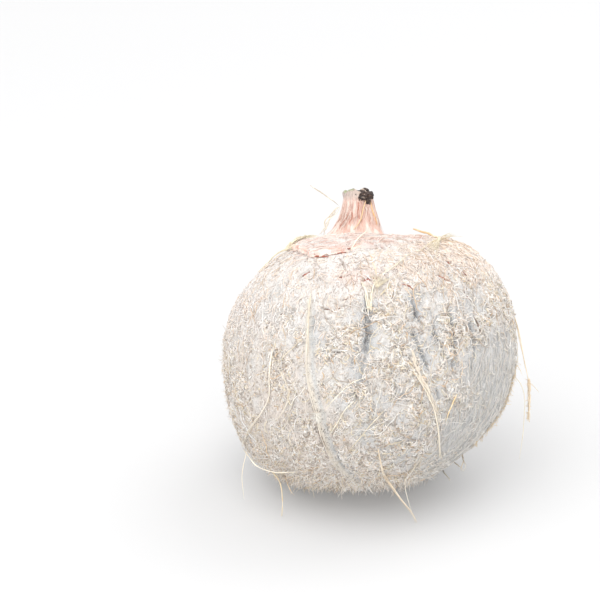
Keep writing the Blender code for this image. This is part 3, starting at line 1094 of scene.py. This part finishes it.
def wander(share, pace, start, seed):
    """(noise places along a thread, how far it strays in each direction)."""
    line = np.stack((share * pace + start, 0 * share, 0 * share), -1)
    return line, np.stack([noise(line + axis * 7.7, seed) for axis in range(3)], -1)


# Places, thickness in mm and colour, and for more than one thread how many, how far they stray, and how far
# they splay at the end.
STRANDS = (
    (((-34.6, 8, 0.5), (-36.4, 0, 0.7), (-37.3, -7, 0.7), (-37.8, -15, 0.7), (-41.1, -22.4, 0.7),
      (-46, -29.7, 0.8), (-47.6, -36.5, 0.8)), 0.21, (240, 231, 216), 4, 0.35, 1.0),
    (((-47.6, -37, 1.6), (-45.4, -41, 0, 17), (-42.0, -44.0, 0, 22), (-36, -45.8, 0, 28), (-30, -45.6, 0, 32),
      (-25.6, -45, 1.0)), 0.17, (238, 229, 208), 2, 0.12, 0.4),
    (((-47.3, -37.9, 0, 12), (-48.9, -46, 0, 9), (-49.1, -52, 0, 6), (-48.4, -58.2, 0, 3)), 0.16,
      (238, 226, 204)),
    (((-36.6, -45.3, 0.5), (-33.8, -50.2, 0, 20), (-32.7, -58.4, 0, 16), (-33, -64.6, 0, 13)), 0.24,
      (238, 212, 162), 2, 0.1, 0.2),
    (((-31.7, -47.6, 0.4), (-30.2, -52, 0, 20), (-28.4, -55.6, 0, 18)), 0.2, (228, 196, 150), 2, 0.1, 0.6),
    (((5.2, -35, 0.6), (6.4, -40, 1.2), (7.6, -44.6, 1.6), (9.6, -49.2, 0, 27), (12.5, -53.3, 0, 24),
      (16, -58, 0, 21), (19.5, -62.5, 0, 19), (21.5, -66.8, 0, 17.5)), 0.24, (230, 208, 178), 3, 0.24, 0.4),
    (((23.5, -38, 0.6), (18.9, -44, 1.6), (17.2, -48, 0, 27), (17.0, -52.3, 0, 24), (18.3, -58.4, 0, 20),
      (20.4, -64.5, 0, 17)), 0.17, (236, 228, 212)),
    (((17.4, -1.1, 0.3), (20.7, -7.2, 0.7), (25.6, -15.4, 0.9), (28.5, -25.6, 0.9), (30.1, -37.9, 0.9),
      (32.6, -45.6, 0.9), (35.2, -49.4, 0, 22)), 0.19, (240, 231, 212), 3, 0.32, 0.3),
    (((19, 4, 0.3), (20.5, -4, 0.5), (24, -11, 0.6), (27, -17, 0.6), (29, -25, 0.4)), 0.20, (236, 224, 208), 6,
      0.9, 0.9),
    (((36.4, -13.6, 0.8), (35, -17, 0.9), (34.2, -20, 0.6), (32.4, -25, 0.4)), 0.30, (240, 208, 146)),
    (((-21.0, 27.6, 0.3), (-21.6, 20, 0.6), (-22.0, 12, 0.5), (-22.3, 2, 0.4)), 0.15, (228, 214, 192), 3, 0.25,
      0.4),
    (((-22.6, 12, 0.4), (-22.7, 2, 0.5), (-22.5, -6, 0.5), (-20.8, -13.6, 0.5), (-18.6, -21.5, 0.5),
      (-17.0, -28, 0.6), (-15.2, -34, 0.6), (-12.0, -40.5, 0.5), (-6.5, -47.5, 0.4)), 0.16, (232, 224, 212), 3,
      0.3, 0.2),
    (((-18.0, -27.5, 0.2), (-16.4, -32.5, 0.3), (-14.0, -37, 0.2)), 0.22, (190, 140, 84)),
    (((20.9, 52.8, 0, -8), (25, 51.3, 0, 0), (30.8, 48.7, 0, 14)), 0.44, (238, 192, 120), 2, 0.12, 0.1),
    (((34.7, 47.6, 0.6), (44.1, 43.4, 0, 2), (49, 38.6, 0, 0), (53.6, 33.3, 0, -2)), 0.27, (234, 208, 168), 2,
      0.3, 0.2),
    (((50, 36.8, 0, 2), (56, 29, 0, 0), (60.4, 22, 0, -1), (63.2, 14.5, 0, -2), (64.7, 7.1, 0, -3),
      (66.6, -1.1, 0, -4), (68.4, -9.3, 0, -5), (68.4, -16, 0, -5)), 0.22, (236, 214, 178), 2, 0.16, 0.3),
    (((68.3, -8.5, 0, -5), (68.4, -14, 0, -5), (68.5, -20, 0, -5), (68.1, -26.5, 0, -5)), 0.30, (226, 204, 174),
      5, 0.5, 0.7),
    (((69, -10.6, 0, -5), (70.4, -12, 0, -4), (72.6, -14.4, 0, -3)), 0.13, (226, 202, 170)),
    (((61.5, -2, 0, 2), (64, -4, 0, 0), (65.6, -7.4, 0, 0)), 0.15, (232, 214, 186)),
    (((60.5, -6.5, 0, 4), (64.6, -10.5, 0, 2), (66.4, -17, 0, 0), (66, -29, 0, 0), (64.2, -42, 0, 0)), 0.15,
      (236, 222, 196)),
    (((-42.8, 34.6, 0.8), (-38.9, 38.5, 1.2), (-33.8, 41, 1.5), (-25.6, 44, 1.2)), 0.30, (250, 238, 206), 2,
      0.15, 0.4),
    (((-31, 42.6, 0.6), (-27, 45.0, 1.0), (-22.5, 47.4, 0.9), (-17, 48.8, 0.7)), 0.26, (226, 216, 186), 7, 0.9,
      0.8),
    (((-5.1, 43.2, 0.5), (-2.4, 45.6, 1.3), (1.2, 49.1, 1.6)), 0.26, (246, 234, 212)),
    (((-21.7, 70.4, 0, 4), (-17, 67.4, 0, 5), (-13.5, 65, 0, 6), (-9.5, 62, 0, 5)), 0.22, (180, 162, 136)),
    (((-9.6, 61.4, 0, 5), (-13.0, 57.2, 0, 6), (-15.6, 52.8, 0, 7), (-16.6, 48.6, 0.5)), 0.16, (214, 198, 170),
      5, 1.1, 0.9),
    (((41.8, -40.3, 0.1), (40.8, -42.6, 0, 18), (40.6, -46, 0, 17)), 0.24, (212, 188, 154), 3, 0.2, 1.2),
    (((37.4, -42.5, 0.2), (39.2, -44.2, 0, 18), (40.4, -46, 0, 17)), 0.18, (214, 194, 164), 2, 0.2, 0.5),
    (((1.4, 18.5, 0.3), (1.0, 23, 0.7), (0.2, 27.5, 0.6), (-1.4, 30.5, 0.4)), 0.28, (243, 232, 208), 2, 0.25,
      0.4),
    (((2.6, 18.7, 0.3), (2.4, 23.5, 0.8), (3.4, 28, 0.8), (5.5, 31.5, 0.7)), 0.30, (243, 232, 208), 2, 0.25,
      0.6),
    (((5.0, 33.0, 0.5), (4.0, 37.0, 0.6), (2.0, 43.0, 0.5)), 0.16, (240, 214, 170)),
    (((6.0, 33.0, 0.4), (10.5, 36.0, 0.6), (16.0, 40.0, 0.5), (20.0, 43.5, 0.4)), 0.15, (238, 228, 206), 2, 0.5,
      0.8),
    (((-33.5, -3, 0.4), (-31, -8, 0.6), (-29.5, -14, 0.7), (-31.5, -20, 0.6), (-36, -25, 0.4)), 0.16,
      (240, 231, 216), 2, 0.3, 0.5),
    (((-26.5, -12, 0.5), (-29, -19, 0.8), (-31, -26, 0.7), (-36.5, -31.5, 0.5)), 0.16, (240, 232, 216)),
    (((7.5, -20, 0.4), (3, -25, 0.8), (-2, -31, 0.8), (-6.5, -36.5, 0.5)), 0.19, (238, 224, 196)),
    (((-4, -16, 0.4), (-8, -20, 0.8), (-11.5, -26, 0.8), (-15, -31, 0.5)), 0.20, (240, 232, 212)),
    (((0, -7, 0.4), (-6, -9.5, 0.8), (-12, -15.5, 0.8), (-16.5, -21, 0.5)), 0.18, (238, 230, 212)),
)
FRAYED_EDGES = (  # places, how many whiskers, their length in mm, colour
    (((62.6, -1, 0.5), (61.4, -8, 0.6), (58.8, -14.8, 0.7), (55.2, -22.4, 0.7), (50.4, -29, 0.6),
      (44, -36, 0.5)), 300, 2.2, (232, 214, 186)),
    (((68.4, -9, 0, -5), (68.5, -18, 0, -5), (68.1, -25.5, 0, -5)), 110, 1.3, (228, 206, 176)),
    (((-33, -46, 0.2), (-25, -49.6, 0.2), (-16, -52.6, 0.2), (-6, -54, 0.2)), 210, 3.8, (240, 233, 220)),
    (((-46, -36, 0.2), (-52, -27, 0.2), (-56, -14, 0.2), (-57.5, 0, 0.2), (-56, 12, 0.2)), 170, 1.9,
      (236, 228, 214)),
    (((-18.8, -20.5, 0.5), (-17.6, -23.6, 0.8)), 150, 1.7, (252, 248, 240)),
    (((-20.6, -22.6, 0.4), (-19.0, -23.0, 0.6)), 80, 1.4, (250, 246, 240)),
    (((-29.5, 43.4, 0.5), (-25, 46.2, 0.8), (-20, 48.2, 0.6)), 160, 1.6, (236, 228, 206)),
)
TUFTS = (  # where it fans from, where its threads end at either side, how many, thickness, colour
    ((30.5, 47.4, 2.2), (19.5, 41.6, 0.8), (28.5, 39.0, 0.8), 17, 0.15, (248, 239, 216)),
    ((30.5, 47.4, 2.2), (36.5, 51.4, 3.5), (42.5, 49.2, 3.5), 8, 0.14, (244, 234, 208)),
    ((26.5, 45.6, 1.6), (36.0, 49.8, 2.4), (38.0, 47.8, 2.2), 5, 0.16, (238, 224, 194)),
    ((4.8, 27.6, 0.9), (1.2, 35.2, 0.8), (13.2, 33.2, 0.8), 40, 0.11, (238, 228, 206)),
    ((6.0, 25.0, 0.5), (9.0, 27.5, 0.4), (14.5, 34.5, 0.8), 26, 0.11, (236, 224, 200)),
    ((2.0, 19.5, 0.3), (-0.5, 29.0, 0.8), (7.5, 30.0, 0.8), 22, 0.13, (246, 237, 218)),
)


def make_slits():
    """Painted shade in each slit, as a thin dark thread lying in its groove."""
    bundle, share = Bundle(), np.linspace(0, 1, SLIT_POINTS)
    for number, (places, half, dark) in enumerate(SLITS):
        first_up = places[0][1]
        lift = COLLAR_SLIT_LIFT if first_up > COLLAR_SLITS_UP else SLIT_LIFT
        main = even_path([surface_place(right, up, lift) for right, up in places], SLIT_POINTS)
        line, stray = wander(share, 4, number * 9.1, 73)
        # The threads' dark tones are painted shade in the slits, redder higher up.
        tone = mix(colour(132, 118, 106), colour(170, 104, 88), dark * smooth(20, 30, first_up))
        tint = mix(tone, colour(118, 80, 66), 0.6 * smooth(0, 0.6, noise(line * 1.5, 75)))
        width = half * (0.75 + 0.35 * noise(line * 2, 74))
        bundle.add(main + stray * 0.3, width * np.sin(math.pi * (0.08 + 0.84 * share)) ** 0.7, tint)
    bundle.finish("slits", FIBRE, sides=6)


def make_strands():
    """The strands that stand out, each as a few threads that stray from one another."""
    rng = np.random.default_rng(211)
    bundle, share = Bundle(), np.linspace(0, 1, STRAND_POINTS)
    for places, thick, tone, *others in STRANDS:
        threads, stray, splay = others or (1, 0, 0)
        main = even_path([place_of(entry) for entry in places], STRAND_POINTS)
        for thread in range(threads):
            line, wide = wander(share, 5, rng.uniform(0, 900), 70)
            spread = stray * arched(share, 0.25) + splay * smooth(0.75, 1.0, share)
            spread = spread * (threads > 1) + 0.15
            size = thick * rng.uniform(0.6, 1.0) if threads > 1 else thick
            size = size * (1 + 0.22 * noise(line * (6, 1, 1) + 3.3, 71))
            size = size * (1 - 0.65 * smooth(0.65, 1, share)) * (1 - 0.4 * smooth(0.15, 0, share))
            pale = mix(colour(*tone), colour(238, 230, 216), 0.3) * rng.uniform(0.9, 1.06)
            tint = mix(pale, colour(250, 244, 230), 0.5 * smooth(0.1, 0.6, noise(line * 1.7, 72)))
            bundle.add(main + wide * spread[:, None] + unit(main) * (0.08 * thread), size, tint)
    bundle.finish("strands", STRAND, sides=6)


def make_whiskers():
    """Short hairs: frayed edges, tufts, and the nap that stands up all over the woolly parts."""
    rng = np.random.default_rng(223)
    bundle, share = Bundle(), np.linspace(0, 1, HAIR_POINTS)[:, None]
    thinning = share[:, 0]
    for places, count, reach, tone in FRAYED_EDGES:
        main = even_path([place_of(entry) for entry in places], EDGE_POINTS)
        run = unit(np.gradient(main, axis=0))
        for i in rng.integers(0, EDGE_POINTS, count):
            aim = unit(unit(rng.normal(size=3)) + 0.8 * run[i])
            bend = unit(rng.normal(size=3)) * 0.35
            far = reach * rng.uniform(0.4, 1.2)
            path = main[i] + rng.normal(size=3) * 0.2 + (aim * share + bend * share**2) * far
            radii = rng.uniform(0.09, 0.17) * (1 - 0.6 * thinning)
            bundle.add(path, radii, colour(*tone) * rng.uniform(0.85, 1.05))
    for hub, first, last, count, thick, tone in TUFTS:
        root = place_of(hub)
        for i in range(count):
            part = (i + rng.uniform(0, 1)) / count
            end = place_of(np.array(first) * (1 - part) + np.array(last) * part)
            end = root + (end - root) * rng.uniform(0.65, 1.1)
            middle = (root + end) / 2 + unit(root) * rng.uniform(0.1, 0.9) + rng.normal(size=3) * 0.35
            path = root * (1 - share) ** 2 + 2 * middle * share * (1 - share) + end * share**2
            radii = thick * rng.uniform(0.7, 1.1) * (1 - 0.55 * thinning)
            bundle.add(path, radii, colour(*tone) * rng.uniform(0.9, 1.08))
    roots = scatter(rng, NAP_HAIRS, lambda d, on: (0.6 * on("fuzz") + 0.22 * on("matted")) * (1 - on("gouge")))
    heading = slanting(1.5)(rng, roots)
    low = smooth(-0.55, -0.85, roots @ UP)
    tall = rng.uniform(0.6, 1.9, len(roots)) * (1 + 0.7 * (rng.uniform(size=len(roots)) < 0.12) + 0.9 * low)
    curl = np.cross(roots, heading) * rng.normal(size=len(roots))[:, None] * 0.5
    base = roots * (at("radius", roots) - 0.15)[:, None]
    shade = fibre_colours(rng, roots)
    for i in range(len(roots)):
        rise = roots[i] * share * (0.35 + 0.65 * share) + heading[i] * share * 1.1 + curl[i] * share**2
        radii = rng.uniform(0.08, 0.14) * (1 + 0.8 * low[i]) * (1 - 0.6 * thinning)
        bundle.add(base[i] + rise * tall[i], radii, shade[i])
    bundle.finish("whiskers", FIBRE)


def make_neck_fibres():
    """Threads that run up the neck, most of them pink and a few of them tan."""
    rng = np.random.default_rng(229)
    bundle, share = Bundle(), np.linspace(0, 1, NECK_THREAD_POINTS)
    facing = math.atan2(NEAR[1], NEAR[0])
    chosen = (  # turns of its foot and tip from the camera's side, their heights, thickness, colour
        (-0.10, 0.55, 51.5, 64.5, 0.26, (236, 204, 160)),
        (1.00, 0.85, 53.0, 64.0, 0.24, (238, 188, 120)),
        (0.10, -0.05, 55.0, 63.5, 0.18, (200, 128, 106)),
        (-0.75, -0.55, 52.0, 61.0, 0.18, (208, 146, 126)),
        (-0.30, -0.35, 54.0, 60.0, 0.17, (204, 136, 114)),
    )
    for i in range(NECK_THREADS + len(chosen)):
        if i < len(chosen):
            low_turn, high_turn, low, high, thick, tone = chosen[i]
            low_turn, high_turn, tone, lift = low_turn + facing, high_turn + facing, colour(*tone), 0.45
        else:
            low_turn = rng.uniform(-math.pi, math.pi)
            high_turn = low_turn + rng.normal() * 0.12
            low, high = rng.uniform(49, 57), rng.uniform(57, 66)
            thick, lift = rng.uniform(0.08, 0.17), rng.uniform(0.1, 0.45)
            tone = mix(colour(244, 228, 219), colour(216, 172, 156), rng.uniform(0, 1) ** 2)
        height = low + (high - low) * share
        turn = low_turn + (high_turn - low_turn) * share + 0.05 * np.sin(share * 7 + i)
        radius = neck_radius(height) + lift * np.sin(math.pi * share) + 0.1
        path = neck_place(ring_of(turn), radius, height)
        away = unit(path - np.stack((neck_centre(height), 0 * height, height), -1))
        bundle.add(path, thick * arched(share, 0.4), tone, away)
    bundle.finish("neck_fibres", FIBRE)


make_slits()
make_strands()
make_whiskers()
make_neck_fibres()

# ---- floor, light and camera
VIEW_DISTANCE = 1.6
MM_A_PIXEL = 0.40956
FRAME_PIXELS = 600
AIM_LEFT, AIM_UP = 0.02556, 0.02351  # the frame's middle lies this far from the fruit's, in metres
FLOOR_REACH = 4.0
FLOOR_GREY, FLOOR_GLOW = (0.535, 0.535, 0.538, 1), 0.15
ROOM_LIGHT = 1.09
LIGHTS = (  # name, place, size, watts, colour
    ("key", (-0.42, -0.55, 1.28), 1.5, 10.8, (1.0, 0.997, 0.995)),
    ("fill", (0.05, -1.30, 0.28), 1.2, 6.6, (0.99, 0.995, 1.0)),
    ("back", (0.8, 0.8, 1.3), 1.4, 8.0, (1, 1, 1)),
)


def add_object(name, data):
    made = bpy.data.objects.new(name, data)
    bpy.context.scene.collection.objects.link(made)
    return made


def make_stage():
    """A plain pale floor that gives off a little light, three soft lights and a white room."""
    mesh = bpy.data.meshes.new("floor")
    corners = [(x * FLOOR_REACH, y * FLOOR_REACH, 0) for x, y in ((-1, -1), (1, -1), (1, 1), (-1, 1))]
    mesh.from_pydata(corners, [], [(0, 1, 2, 3)])
    floor = add_object("floor", mesh)
    look = Look("floor")
    paint = {"Base Color": FLOOR_GREY, "Roughness": 0.9, "Specular IOR Level": 0.1}
    glow = {"Emission Color": (1, 1, 1, 1), "Emission Strength": FLOOR_GLOW}
    look.fill(look.nodes["Principled BSDF"], paint | glow)
    mesh.materials.append(look.material)
    for name, place, size, power, tone in LIGHTS:
        data = bpy.data.lights.new(name, "AREA")
        data.shape, data.size, data.energy, data.color = "DISK", size, power, tone
        light = add_object(name, data)
        light.location = place
        light.rotation_euler = Vector((MIDDLE - np.array(place)).tolist()).to_track_quat("-Z", "Y").to_euler()
    world = bpy.data.worlds.new("studio")
    bpy.context.scene.world = world
    world.use_nodes = True
    background = world.node_tree.nodes["Background"]
    background.inputs["Color"].default_value = (1, 1, 1, 1)
    background.inputs["Strength"].default_value = ROOM_LIGHT
    bpy.context.scene.view_settings.view_transform = "Standard"


def make_camera():
    data = bpy.data.cameras.new("camera")
    data.sensor_width = 36
    data.lens = VIEW_DISTANCE * 1000 / MM_A_PIXEL * data.sensor_width / FRAME_PIXELS
    data.clip_end = 20
    camera = add_object("camera", data)
    up = np.array((0, math.sin(ELEVATION), math.cos(ELEVATION)))
    forward = np.array((0, math.cos(ELEVATION), -math.sin(ELEVATION)))
    camera.location = MIDDLE + np.array((-AIM_LEFT, 0, 0)) + AIM_UP * up - VIEW_DISTANCE * forward
    camera.rotation_euler = (math.pi / 2 - ELEVATION, 0, 0)
    bpy.context.scene.camera = camera


make_stage()
make_camera()
bpy.context.view_layer.update()
